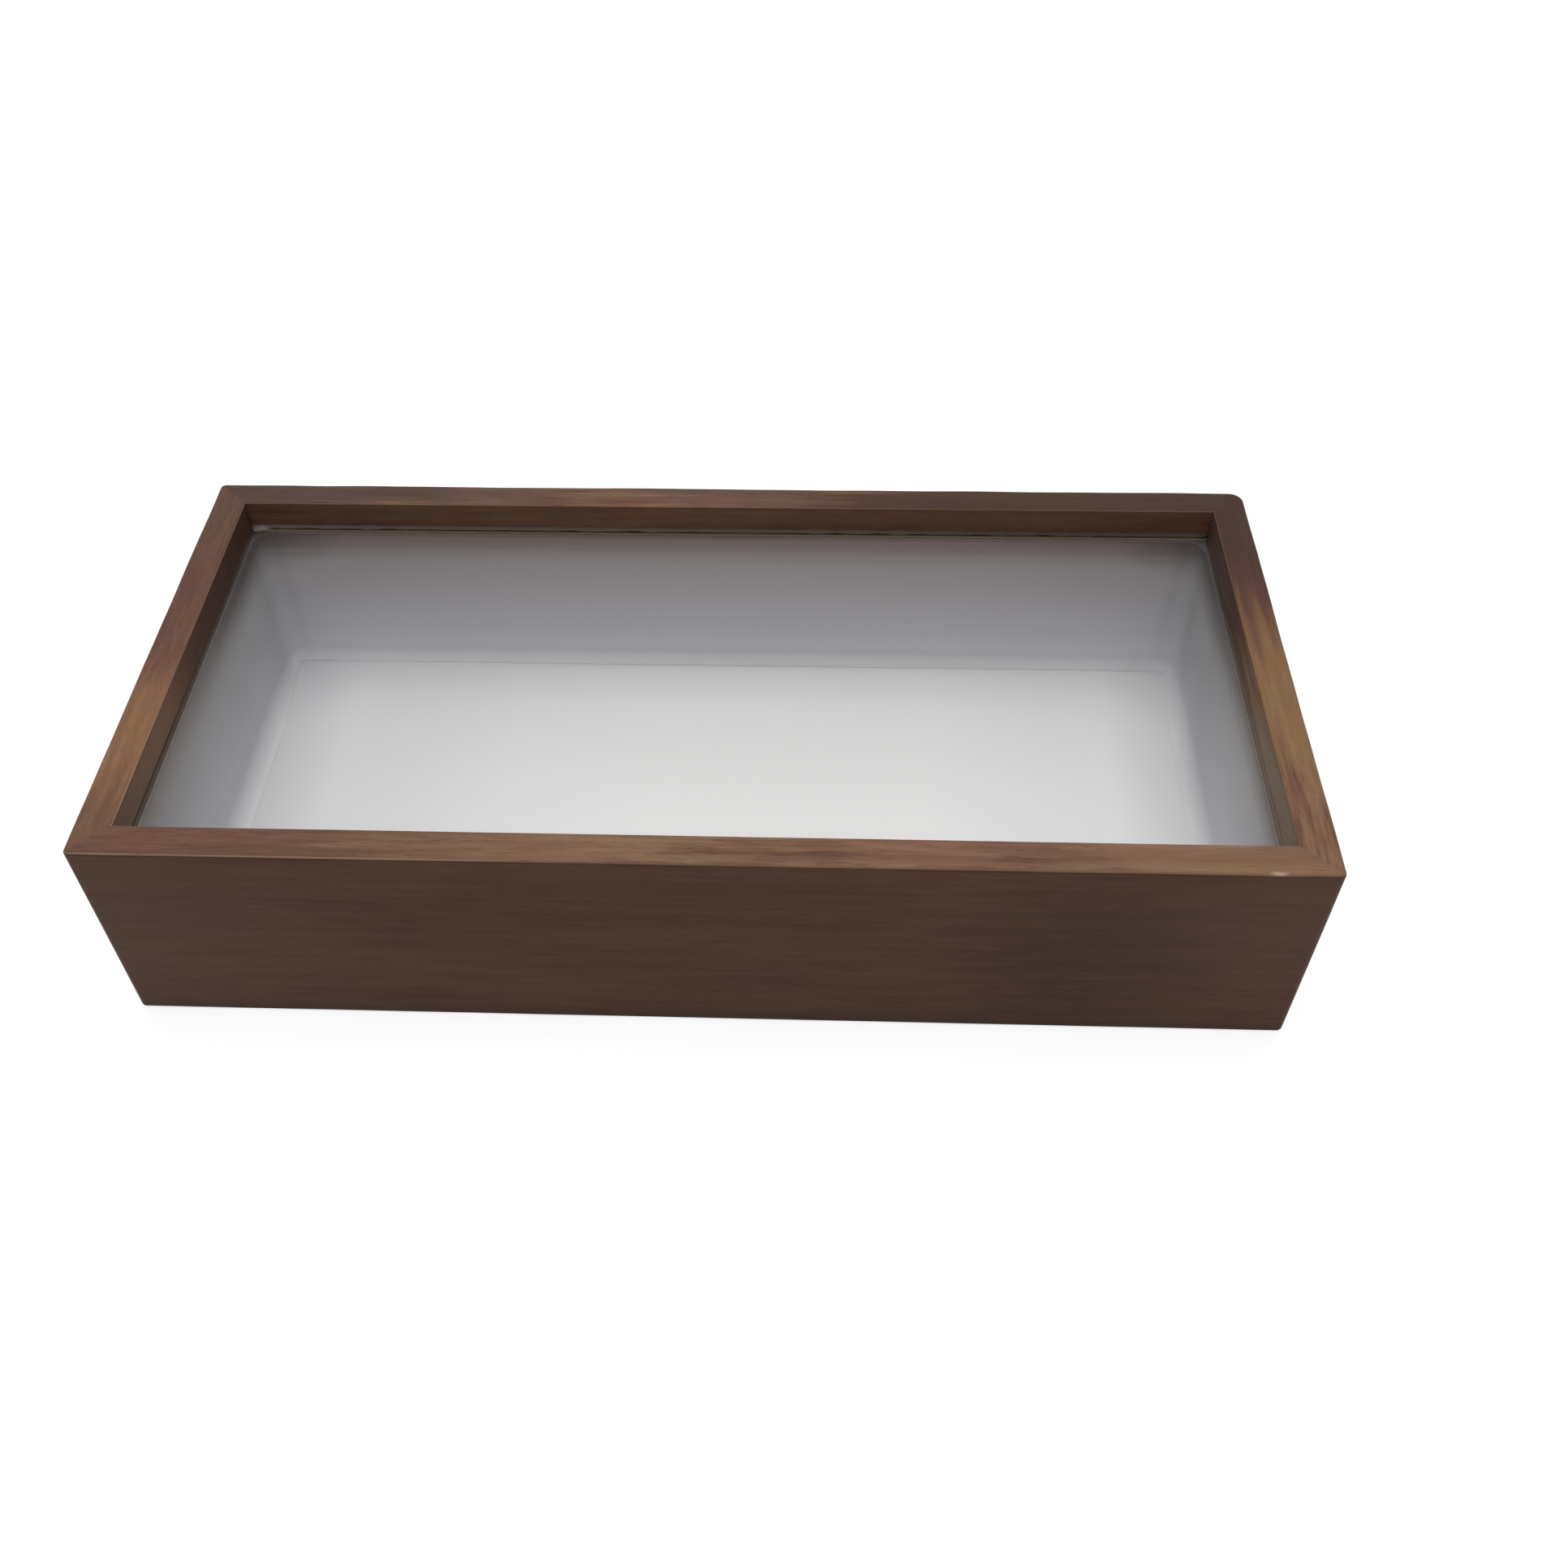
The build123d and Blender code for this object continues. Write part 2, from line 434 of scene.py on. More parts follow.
# The same for how much a face looks up, which is 0 for an upright face and 1 for a level one
LIVELY = (0.2, 0.9)
TOP_FACE = (0.3, 0.8)
OUTER_FACE = (0.5, 0.2)
LIP_FACE = (0.6, 0.3)
RUBBED_HIGHLIGHT_FROM = (0.35, 0.6)
RUBBED_HIGHLIGHT_TO = (0.88, 0.78)
SHADED_FROM = (0.05, 0.25)
SHADED_TO = (0.5, 0.35)

# Most noise is between these
MOST_NOISE = (0.3, 0.7)

GRAIN_SHIFT = (0.37, 0.053, 0.029)
FIBRE_DEPTH = 0.012
PORE_DEPTH = 0.03


def stained_wood(name, across_x, seed):
    """Walnut-stained softwood under satin lacquer, with its grain along the rail."""
    material, tree = new_material(name)
    tones = WOOD_TONES
    turn = math.pi / 2 if across_x else 0.0
    offset = [shift * seed for shift in GRAIN_SHIFT]
    place = object_coords(tree)
    to_right, deep = split(tree, place)[:2]
    reach = split(tree, vector_step(tree, "ABSOLUTE", place))
    high = reach["Z"]
    half = (CASE_LENGTH if across_x else CASE_DEPTH) / 2 * MM
    inset = spread(tree, reach["X" if across_x else "Y"], 0, half, half, 0)
    up = split(tree, add(tree, "ShaderNodeNewGeometry").outputs["Normal"])["Z"]
    lively = spread(tree, up, *LIVELY, 0.4, 1.0)

    def grain(along, across, **character):
        """Noise with that many cycles a metre along the grain and across it."""
        stretched = object_place(tree, (along, across, across), turn, offset)
        return noise(tree, stretched, **character)

    streaks = spread(tree, grain(34, 700, detail=3.0, roughness=0.6), *MOST_NOISE, -0.5, 0.5)
    patches = grain(70, 210, detail=2.0)
    figure = grain(18, 430, detail=3.0, distortion=0.1)
    flecks = grain(120, 1500, detail=2.0, roughness=0.6)
    fibre = grain(240, 4600, detail=3.0, roughness=0.65)
    pores = spread(tree, grain(420, 6500, detail=1.0), 0.60, 0.72)

    def share_of(value, low, high, most):
        """A share that grows to most, and shows best on the faces that look up."""
        return product(tree, spread(tree, value, low, high, 0, most), lively)

    def near(centre, full, none, share, stretch=(1, 1, 1), ragged=1.0):
        """A share that fades with distance from a centre, in streaks that follow the grain."""
        fray = ragged * (none - full) * MM
        gap = calculate(tree, "MULTIPLY_ADD", streaks, fray, gap_to(tree, place, centre, stretch))
        return fade(tree, gap, full, none, share, 0)

    def stains_and_painted_light(rows, mask):
        """The layers of a list of stain marks, painted light and painted shade, on the part that the
        mask leaves open.
        """
        return [(product(tree, near(*row), mask), tone) for *row, tone in rows]

    patch_share = spread(tree, patches, 0.40, 0.60, -0.5, 0.5)
    patch_strength = spread(tree, up, *LIVELY, 0.3, 1.0)
    patch_share = calculate(tree, "MULTIPLY_ADD", patch_share, patch_strength, 0.5)
    layers = [
        (patch_share, tones["olive_patch"]),
        (share_of(figure, 0.44, 0.70, 0.8), tones["figure"]),
        (share_of(flecks, 0.48, 0.72, 0.6), tones["pale_fleck"]),
        (share_of(flecks, 0.50, 0.28, 0.5), tones["dark_fleck"]),
        (share_of(fibre, *MOST_NOISE, 0.25), tones["fibre"]),
        (share_of(pores, 0, 1, 0.45), tones["pore"]),
    ]

    if across_x:
        on_lip = fade(tree, inset, *TO_LIP_FACE)
        top = spread(tree, up, *TOP_FACE, fade(tree, inset, *TO_LIP_FACE, 0.15, 0.9), 1.0)
        # Stain and painted shade, darkest at the back corners
        layers += stains_and_painted_light(SIDE_STAINS_AND_SHADE, top)
        lip_shade = product(tree, fade(tree, inset, *LIP_SHADED), fade(tree, deep, *LIP_SHADED_BACK))
        layers.append((lip_shade, tones["lip_shade"]))
        # Painted light and painted shade on the lip faces
        layers += stains_and_painted_light(LIP_PAINTED_LIGHT_AND_SHADE, product(tree, spread(tree, up, *LIP_FACE), on_lip))
        # Painted light on the bare groove wood, most toward the front right
        painted_light_share = product(tree, fade(tree, deep, *RAW_PAINTED_LIGHT_FRONT), fade(tree, to_right, *RAW_PAINTED_LIGHT_RIGHT))
        raw_painted_light_and_shade = mix_colours(tree, painted_light_share, tones["raw_side_painted_shade"], tones["raw_side_painted_light"])
    else:
        # Stain and painted shade, darkest at the back corners, and on the front face painted light
        # toward both ends
        layers += stains_and_painted_light(LONG_STAINS_AND_SHADE, spread(tree, up, *TOP_FACE, 0.12, 1.0))
        layers += stains_and_painted_light(FACE_STAINS_AND_LIGHT, spread(tree, up, *OUTER_FACE))
        raw_painted_light_and_shade = tones["raw_long_rail_painted_light"]

    raw = product(
        tree,
        fade(tree, inset, *TO_RAW_WOOD),
        fade(tree, high, *INTO_GROOVE),
        fade(tree, high, *OFF_THE_TABLE),
    )
    rubbed_highlight = product(tree, spread(tree, up, *RUBBED_HIGHLIGHT_FROM), spread(tree, up, *RUBBED_HIGHLIGHT_TO))
    shaded = product(tree, spread(tree, up, *SHADED_FROM), spread(tree, up, *SHADED_TO))
    layers += [
        (raw, raw_painted_light_and_shade),
        # Painted shade: darker toward the foot
        (fade(tree, high, *INTO_FOOT_SHADE, 0, 0.4), tones["foot"]),
        # Wear and a painted highlight along the top arrises, brightest at the front left
        (product(tree, rubbed_highlight, 0.35), tones["rubbed_highlight"]),
        (product(tree, rubbed_highlight, near(*BRIGHT_RUBBED_HIGHLIGHT)), tones["bright_rubbed_highlight"]),
        (product(tree, shaded, 0.55), tones["shaded"]),
        (near(*CHIPPED, CHIP_STRETCH, ragged=0.0), tones["chip"]),
    ]

    relief = bump(tree, fibre, FIBRE_DEPTH * MM)
    relief = bump(tree, spread(tree, pores, 0, 1, 1, 0), PORE_DEPTH * MM, relief)
    shader = principled(
        tree,
        {
            "Base Color": lay_over(tree, tones["red_patch"], layers),
            "Roughness": spread(tree, fibre, 0.2, 0.8, 0.46, 0.62),
            "Normal": relief,
            "Specular IOR Level": 0.12,
        },
    )
    finish_tree(tree, shader)
    return material


# ---------------------------------------------------------------- card and paper

# Tones by place, which paint light and shade: card by height, darkening toward the pane, and paper by
# depth, darkest at the back wall
LONG_TONES = [
    (2.0, linear(212, 212, 213)),
    (2.8, linear(226, 226, 229)),
    (5.0, linear(227, 227, 232)),
    (8.0, linear(213, 213, 219)),
    (16.0, linear(195, 191, 194)),
    (20.0, linear(187, 180, 180)),
    (24.3, linear(159, 143, 138)),
    (24.7, linear(128, 112, 106)),
]
SIDE_TONES = [
    (2.0, linear(216, 216, 217)),
    (2.3, linear(209, 209, 212)),
    (3.2, linear(202, 203, 206)),
    (8.0, linear(196, 197, 202)),
    (16.0, linear(181, 181, 184)),
    (20.0, linear(173, 171, 171)),
    (24.3, linear(159, 153, 148)),
    (24.7, linear(130, 122, 116)),
]
PAPER_TONES = [
    (-36.0, linear(236, 236, 235)),
    (-4.0, linear(236, 236, 235)),
    (4.0, linear(232, 232, 231)),
    (9.0, linear(227, 227, 226)),
    (15.0, linear(221, 221, 220)),
    (22.0, linear(230, 229, 229)),
    (29.0, linear(228, 227, 227)),
    (33.0, linear(211, 210, 212)),
]

# Painted shade and painted light laid over those tones in turn: a tone, and the fades whose product
# is its share.
# A fade is what it is measured by, two values of that, and the share at each of the two.
# "along" is the distance from the middle of the length, and "past_corner" is how much longer
# that is than the distance from the middle of the depth.
ON_SIDES = ("past_corner", 33.5, 41, 0, 1)
LONG_SHADES = {
    "duller_foot": (linear(190, 191, 195), ("along", 26, 56, 0, 0.28), ("Z", 3.6, 2.7, 0, 1)),
}
CARD_SHADES = {
    "duller_back": (
        linear(120, 118, 120),
        ON_SIDES,
        ("Y", -5, 34, 0, 0.5),
        ("X", -60, 60, 0.9, 1.12),
        ("Z", 14, 4, 1, 0.52),
    ),
    "whiter_right_foot": (
        linear(232, 232, 234),
        ("X", 64, 68, 0, 1),
        ("Z", 7.5, 3.5, 0, 1),
        ("Y", 4, 24, 0, 0.36),
        ("Y", 27, 33, 1, 0.3),
    ),
    "dark_under_lip": (
        linear(66, 58, 58),
        ON_SIDES,
        ("Z", 18.5, 23.8, 0, 1),
        ("Y", -14, 22, 0, 0.6),
    ),
    "whiter_right_front": (
        linear(238, 238, 241),
        ("X", 65, 69, 0, 1),
        ("Y", 14, -12, 0, 0.25),
        ("Z", 24.5, 21, 0, 1),
    ),
    "whiter_back_fold": (linear(232, 232, 236), ("from_fold", 1, 7, 0.28, 0), ("Z", 5, 15, 1, 0)),
    "dark_top_corner": (linear(66, 58, 58), ("from_top_corner", 3, 19, 0.68, 0)),
}
PAPER_SHADES = {
    "duller_ends": (linear(196, 197, 200), ("along", 30, 72, 0, 0.55)),
    "duller_left": (linear(196, 197, 200), ("X", -10, -70, 0, 0.4)),
}
BACK_FOLD = (69.75, 32.25, 0)
FLATTENED = (1, 1, 0)
TOP_CORNER = (70, 36, 28)
TOP_CORNER_STRETCH = (1.3, 0.55, 1.8)

GREY = (0.5, 0.5, 0.5, 1)
FLECK_SHARE = 0.05


def lay_shades(tree, colour, measures, shades):
    """Lay shades over a colour, with their fades measured by the values given."""
    for tone, *fades in shades.values():
        shares = [fade(tree, measures[name], *limits) for name, *limits in fades]
        colour = mix_colours(tree, product(tree, *shares), colour, tone)
    return colour


def card_tone(tree, place):
    """White card with painted shade toward its top edge and most at the back corners, and painted
    light in places.
    """
    x, y, z = split(tree, place)
    along = calculate(tree, "ABSOLUTE", x)
    across = calculate(tree, "ABSOLUTE", y)
    mirrored = add(tree, "ShaderNodeCombineXYZ", {"X": along, "Y": y, "Z": z}).outputs[0]
    measures = {
        "X": x,
        "Y": y,
        "Z": z,
        "along": along,
        "past_corner": calculate(tree, "SUBTRACT", along, across),
        "from_fold": gap_to(tree, mirrored, BACK_FOLD, FLATTENED),
        "from_top_corner": gap_to(tree, mirrored, TOP_CORNER, TOP_CORNER_STRETCH),
    }
    name, *limits = ON_SIDES
    on_sides = fade(tree, measures[name], *limits)
    long_card = lay_shades(tree, colour_along(tree, z, LONG_TONES), measures, LONG_SHADES)
    colour = mix_colours(tree, on_sides, long_card, colour_along(tree, z, SIDE_TONES))
    return lay_shades(tree, colour, measures, CARD_SHADES)


def paper_tone(tree, place):
    """White paper with painted shade, a little darker at its two ends, and at the left more than the
    right.
    """
    x, y = split(tree, place)[:2]
    measures = {"X": x, "along": calculate(tree, "ABSOLUTE", x)}
    return lay_shades(tree, colour_along(tree, y, PAPER_TONES), measures, PAPER_SHADES)


def matt_sheet(name, tone, grain, depth):
    """Card or paper of a tone made in the same tree by the function given."""
    material, tree = new_material(name)
    texture = noise(tree, object_place(tree, (grain,) * 3), detail=4.0, roughness=0.6)
    flecks = spread(tree, texture, *MOST_NOISE, 0, FLECK_SHARE)
    shader = principled(
        tree,
        {
            "Base Color": mix_colours(tree, flecks, tone(tree, object_coords(tree)), GREY),
            "Roughness": 0.85,
            "Normal": bump(tree, texture, depth * MM),
            "Specular IOR Level": 0.2,
        },
    )
    finish_tree(tree, shader)
    return material


# ---------------------------------------------------------------- glass, steel, board, and glue toned as painted light

# Lower than real glass, so that the pane mirrors less of the room
PANE_IOR = 1.15
PANE_TINT = (0.978, 0.977, 0.977, 1)
PANE_SHADE = (0.943, 0.942, 0.942, 1)
GLUE_SHADE = (0.9, 0.9, 0.9, 1)

# Cycles a metre
STEEL_GRAIN = 900
SCUFF_GRAIN = 16000
BOARD_GRAIN = 1500
GLUE_GRAIN = 1500
SCREEN_SCALE = 260.0

SCUFF_DEPTH = 0.004
SCREEN_DEPTH = 0.05
BOARD_FIBRE_DEPTH = 0.02
GLUE_DEPTH = 0.02


def pane_glass():
    """Clear glass to look through, and a slight plain shade to the light that passes it."""
    material, tree = new_material("pane_glass")
    glass = principled(
        tree,
        {
            "Base Color": PANE_TINT,
            "Roughness": 0.0,
            "IOR": PANE_IOR,
            "Transmission Weight": 1.0,
            "Specular IOR Level": 0.5,
        },
    )
    clear = add(tree, "ShaderNodeBsdfTransparent", {"Color": PANE_SHADE}).outputs[0]
    from_light = rays(tree, "Is Shadow Ray", "Is Diffuse Ray")
    finish_tree(tree, mix_shaders(tree, from_light, glass, clear))
    return material


def steel(name, colour, roughness):
    """Steel with a cloudy polish and fine scuffs along X."""
    material, tree = new_material(name)
    texture = noise(tree, object_place(tree, (STEEL_GRAIN,) * 3), detail=4.0, roughness=0.6)
    scuff_place = object_place(tree, (STEEL_GRAIN, SCUFF_GRAIN, STEEL_GRAIN))
    scuffs = noise(tree, scuff_place, detail=3.0, roughness=0.6)
    shader = principled(
        tree,
        {
            "Base Color": colour,
            "Metallic": 1.0,
            "Roughness": spread(tree, texture, *MOST_NOISE, roughness - 0.06, roughness + 0.08),
            "Normal": bump(tree, scuffs, SCUFF_DEPTH * MM),
        },
    )
    finish_tree(tree, shader)
    return material


def hardboard():
    """Brown hardboard, with the print of its pressing screen."""
    material, tree = new_material("hardboard")
    fibres = noise(tree, object_place(tree, (BOARD_GRAIN,) * 3), detail=5.0, roughness=0.7)
    brown = spread(tree, fibres, *MOST_NOISE)
    brown = mix_colours(tree, brown, linear(150, 112, 78), linear(112, 78, 50))
    ribs = []
    for turn in (0.0, math.pi / 2):
        place = object_place(tree, (1, 1, 1), turn)
        inputs = {"Vector": place, "Scale": SCREEN_SCALE, "Distortion": 0.4}
        wave = add(tree, "ShaderNodeTexWave", inputs, wave_type="BANDS", bands_direction="X")
        ribs.append(wave.outputs["Fac"])
    screen = product(tree, *ribs)
    tone = mix_colours(tree, product(tree, screen, 0.35), brown, linear(88, 60, 38))
    relief = bump(tree, fibres, BOARD_FIBRE_DEPTH * MM)
    relief = bump(tree, screen, SCREEN_DEPTH * MM, relief)
    finish_tree(tree, principled(tree, {"Base Color": tone, "Roughness": 0.7, "Normal": relief}))
    return material


def glue_with_painted_light(name, colours, covers, along, centre=None, size=(1, 1, 1)):
    """Glue gone cloudy, in tones that also paint light. Its colour runs along X, and its cover can
    thin away from a centre.
    """
    material, tree = new_material(name)
    place = object_coords(tree)
    cloud = noise(tree, object_place(tree, (GLUE_GRAIN,) * 3), detail=3.0)
    shader = principled(
        tree,
        {
            "Base Color": mix_colours(tree, fade(tree, split(tree, place)["X"], *along), *colours),
            "Roughness": spread(tree, cloud, *MOST_NOISE, 0.45, 0.65),
            "Normal": bump(tree, cloud, GLUE_DEPTH * MM),
            "Specular IOR Level": 0.08,
        },
    )
    clear = add(tree, "ShaderNodeBsdfTransparent", {"Color": GLUE_SHADE}).outputs[0]
    cover = spread(tree, cloud, *MOST_NOISE, *covers)
    if centre is not None:
        away = gap_to(tree, place, centre, [1 / length for length in size])
        cover = product(tree, cover, fade(tree, away, 0.4, 1.15, 1, 0))
    cover = product(tree, cover, spread(tree, rays(tree, "Is Shadow Ray"), 0, 1, 1, 0))
    finish_tree(tree, mix_shaders(tree, cover, clear, shader))
    return material


# ---------------------------------------------------------------- mesh helpers

SHARP_ABOVE = 38
WELD_DISTANCE = 0.001
SLIVER_LENGTH = 0.0005


def add_piece(name, points, faces, material, body, node):
    """A piece made in millimetres, shown in place of its CAD node."""
    mesh = bpy.data.meshes.new(name)
    mesh.from_pydata([Vector(point) * MM for point in points], [], faces)
    shape = bmesh.new()
    shape.from_mesh(mesh)
    bmesh.ops.remove_doubles(shape, verts=shape.verts, dist=WELD_DISTANCE * MM)
    bmesh.ops.dissolve_degenerate(shape, edges=shape.edges, dist=SLIVER_LENGTH * MM)
    bmesh.ops.recalc_face_normals(shape, faces=shape.faces)
    shape.to_mesh(mesh)
    shape.free()
    mesh.materials.append(material)
    mesh.shade_smooth()
    mesh.set_sharp_from_angle(angle=math.radians(SHARP_ABOVE))
    piece = bpy.data.objects.new(name, mesh)
    bpy.context.scene.collection.objects.link(piece)
    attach(piece, body)
    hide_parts(node)


def skin(rings, closed_ends=True):
    """Points, and the faces that join rings of equally many, with a cap at each end."""
    count = len(rings[0])
    points = [point for ring in rings for point in ring]
    faces = []
    for row in range(len(rings) - 1):
        first, second = row * count, (row + 1) * count
        for k in range(count):
            after = (k + 1) % count
            faces.append((first + k, first + after, second + after, second + k))
    if closed_ends:
        faces.append(tuple(reversed(range(count))))
        faces.append(tuple(range((len(rings) - 1) * count, len(rings) * count)))
    return points, faces


def side_point(side, along, inset, height):
    """A point on a side, from its place along the side and its inset from the outer face."""
    span = CASE_DEPTH if side in LONG_SIDES else CASE_LENGTH
    quarter = Matrix.Rotation(SIDES.index(side) * math.pi / 2, 3, "Z")
    return quarter @ Vector((along, inset - span / 2, height))


def arc(centre, radius, start, end, steps):
    """Section points on an arc, between angles in degrees, each with the way into the piece."""
    points = []
    for k in range(steps + 1):
        angle = math.radians(start + (end - start) * k / steps)
        across, up = math.cos(angle), math.sin(angle)
        points.append((centre[0] + radius * across, centre[1] + radius * up, -across, -up))
    return points


def run(start, end, steps, into):
    """Section points strictly between two points, each with the way into the piece."""
    points = []
    for k in range(1, steps):
        share = k / steps
        across = start[0] + (end[0] - start[0]) * share
        up = start[1] + (end[1] - start[1]) * share
        points.append((across, up, *into))
    return points


def stations(side, extra=()):
    """Half a side's length, half of its straight part, and the places that get a ring.

    A place is a kind, an end and a value. The end is -1 or 1, or 0 on the straight part. The
    value is the place along the straight part for "run", the share of the way from there to
    the bend of a corner for "reach", and the angle round that bend for "turn".
    """
    half = (CASE_LENGTH if side in LONG_SIDES else CASE_DEPTH) / 2
    core = half - CORNER_RUN
    steps = int(2 * core / RING_STEP)
    even = {round(-core + 2 * core * k / steps, 3) for k in range(steps + 1)}
    corner = [("reach", k / CORNER_RUN_STEPS) for k in range(1, CORNER_RUN_STEPS + 1)]
    corner += [("turn", angle) for angle in CORNER_ANGLES]
    places = [(kind, -1, value) for kind, value in reversed(corner)]
    places += [("run", 0, value) for value in sorted(even | set(extra))]
    places += [(kind, 1, value) for kind, value in corner]
    return half, core, places


def plan_place(half, core, place, inset, radius, round_from):
    """Where a station meets the line at that inset: its place along the side, and its inset.

    Lines between round_from and the radius bend round the corner. The others meet at the
    mitre, and have the rings of the bend in the last stretch before it.
    """
    kind, end, value = place
    if kind == "run":
        return value, inset
    rounded = round_from <= inset < radius
    zone = CORNER_ZONE if inset >= radius else radius - inset
    foot = half - radius if rounded else half - inset - zone
    if kind == "reach":
        return end * (core + (foot - core) * value), inset
    if rounded:
        angle = math.radians(value)
        bend = radius - inset
        return end * (foot + bend * math.sin(angle)), radius - bend * math.cos(angle)
    return end * (foot + zone * value / MITRE_ANGLE), inset


# ---------------------------------------------------------------- rails


def rail_section(arris, pocket):
    """Points round a rail from the outer edge of its foot: inset, height and the way in."""
    top = CASE_HEIGHT - arris
    lip = RAIL_WIDTH - LIP_ARRIS
    lip_top = CASE_HEIGHT - LIP_ARRIS
    section = arc((FOOT_ARRIS, FOOT_ARRIS), FOOT_ARRIS, 270, 180, 4)
    section += run((0, FOOT_ARRIS), (0, top), 10, (1, 0))
    section += arc((arris, top), arris, 180, 90, 7)
    section += run((arris, CASE_HEIGHT), (lip, CASE_HEIGHT), 6, (0, -1))
    section += arc((lip, lip_top), LIP_ARRIS, 90, 0, 5)
    section += run((RAIL_WIDTH, lip_top), (RAIL_WIDTH, LIP_FOOT), 4, (-1, 0))
    for inset, height in (
        (RAIL_WIDTH, LIP_FOOT),
        (RAIL_WIDTH - GROOVE_DEPTH, LIP_FOOT),
        (RAIL_WIDTH - GROOVE_DEPTH, PANE_BOTTOM),
        (RAIL_WIDTH, PANE_BOTTOM),
        (RAIL_WIDTH, FLOOR_TOP),
        (REBATE_INSET, FLOOR_TOP),
        (REBATE_INSET, POCKET_TOP),
        (REBATE_INSET, pocket),
        (POCKET_INSET, pocket),
        (POCKET_INSET, 0),
    ):
        section.append((inset, height, 0, 0))
    return section


def worn(point, depth, length):
    """A smooth depth from 0 to depth, the same for every piece at the same place."""
    return depth * (0.5 + 0.5 * field(point / length))


def chip_depth(point):
    """How deep the chip in the front arris is at a point."""
    gap = (point - Vector(CHIP_PLACE)) / CHIP_LENGTH
    gap.y *= CHIP_SQUASH
    gap.z *= CHIP_SQUASH
    return CHIP_DEPTH * math.exp(-gap.length_squared)


def pocket_heights(side, place):
    """The height of a rail's pocket at a place, and both heights where a pocket starts or ends."""
    kind, _, value = place
    if kind != "run" or side not in LONG_SIDES:
        return (0.0,)
    if value in POCKET_STARTS:
        return 0.0, POCKET_TOP
    if value in POCKET_ENDS:
        return POCKET_TOP, 0.0
    return (POCKET_TOP if POCKET_NEAR < abs(value) < POCKET_FAR else 0.0,)


def rail_rings(side):
    """The rail's skin, sanded and slightly uneven, with a fine V at each mitre."""
    half, core, places = stations(side, POCKET_STARTS + POCKET_ENDS if side in LONG_SIDES else ())
    number = SIDES.index(side)
    radii = {-1: CORNER_RADII[CORNERS[number - 1]], 0: 0.0, 1: CORNER_RADII[CORNERS[number]]}

    def rail_ring(place, pocket):
        """The points of one ring, with its pocket that high."""
        radius = radii[place[1]]

        def seat(inset, height):
            """The point of this ring at an inset and a height of the section."""
            return side_point(side, *plan_place(half, core, place, inset, radius, 0.0), height)

        edge = seat(0.0, CASE_HEIGHT)
        arris = TOP_ARRIS + ARRIS_CHANGE * field(edge / WEAR_LENGTH * 2)
        at_mitre = place[0] == "turn" and place[2] == MITRE_ANGLE
        ring = []
        for inset, height, into, up in rail_section(arris, pocket):
            point = seat(inset, height)
            if into or up:
                depth = worn(point, WEAR_DEPTH, WEAR_LENGTH)
                depth += MITRE_GROOVE if at_mitre else 0.0
                depth += chip_depth(point)
                point = seat(inset + depth * into, height + depth * up)
            ring.append(point)
        return ring

    return [rail_ring(place, pocket) for place in places for pocket in pocket_heights(side, place)]


# ---------------------------------------------------------------- card strips


def liner_section(cove):
    """Points round a card strip, which has its foot rolled into the floor by the cove."""
    face = RAIL_WIDTH + LINER_THICKNESS
    edge = LINER_TOP - LINER_EDGE
    section = [
        (RAIL_WIDTH, LINER_FOOT, 0, 0),
        (RAIL_WIDTH, edge, 0, 0),
        (RAIL_WIDTH + LINER_EDGE, LINER_TOP, 0, 0),
        (face - LINER_EDGE, LINER_TOP, 0, 0),
        (face, edge, 0, 0),
    ]
    section += run((face, edge), (face, LINER_FOOT + cove), 10, (1, 0))
    section += arc((face + cove, LINER_FOOT + cove), cove, 180, 270, 8)
    return section


def liner_rings(side):
    """A card strip with soft corners, bowed a little into the case."""
    half, core, places = stations(side)
    face = RAIL_WIDTH + LINER_THICKNESS
    radius = face + LINER_CORNER
    round_from = face - LINER_ROUND_PLAY
    widest = LINER_COVE if side in LONG_SIDES else LINER_SIDE_COVE
    rings = []
    for place in places:
        foot = plan_place(half, core, place, face, radius, round_from)[0]
        from_corner = (half - face - abs(foot)) / COVE_CHANGE_LENGTH
        ease = min(1.0, max(0.0, from_corner - COVE_CHANGE_START))
        cove = LINER_COVE + (widest - LINER_COVE) * ease * ease * (3 - 2 * ease)
        ring = []
        for across, height, into, _ in liner_section(cove):
            along, inset = plan_place(half, core, place, across, radius, round_from)
            point = side_point(side, along, inset, height)
            if into > 0 and place[0] != "turn":
                from_end = min(1.0, (half - abs(along)) / LINER_BOW_FADE)
                bowed = inset + worn(point, LINER_BOW, WEAR_LENGTH * 2) * from_end
                point = side_point(side, along, bowed, height)
            ring.append(point)
        rings.append(ring)
    return rings


# ---------------------------------------------------------------- glue along the pane, toned as painted light

GLUE_FROM = -69.9
GLUE_TO = 69.9
GLUE_STEP = 0.5
GLUE_WIDTH = 0.62
GLUE_HEIGHT = 0.3
GLUE_HOLLOW = 0.35
GLUE_HOLLOW_STEPS = 6
GLUE_MEAN = 0.9
GLUE_UNEVEN = 0.4
GLUE_WAVE_LENGTH = 3
GLUE_WAVE_ROW = 7
GLUE_LIP = 32.7
GLUE_IN_WOOD = 0.2
GLUE_AT_WOOD = 0.05
GLUE_ABOVE_PANE = 0.02
GLUE_BACK_TOP = 0.08
BLOB_CENTRE = (-68.7, 32.1, 26.0)
BLOB_SIZE = (1.7, 0.75, 0.22)
BLOB_ROWS = 12
BLOB_POINTS = 40
BLOB_BEND = 0.35
BLOB_UNEVEN = 0.35
BLOB_LUMPS = 1.3
BLOB_LUMPS_FROM = Vector((4, 2, 9))


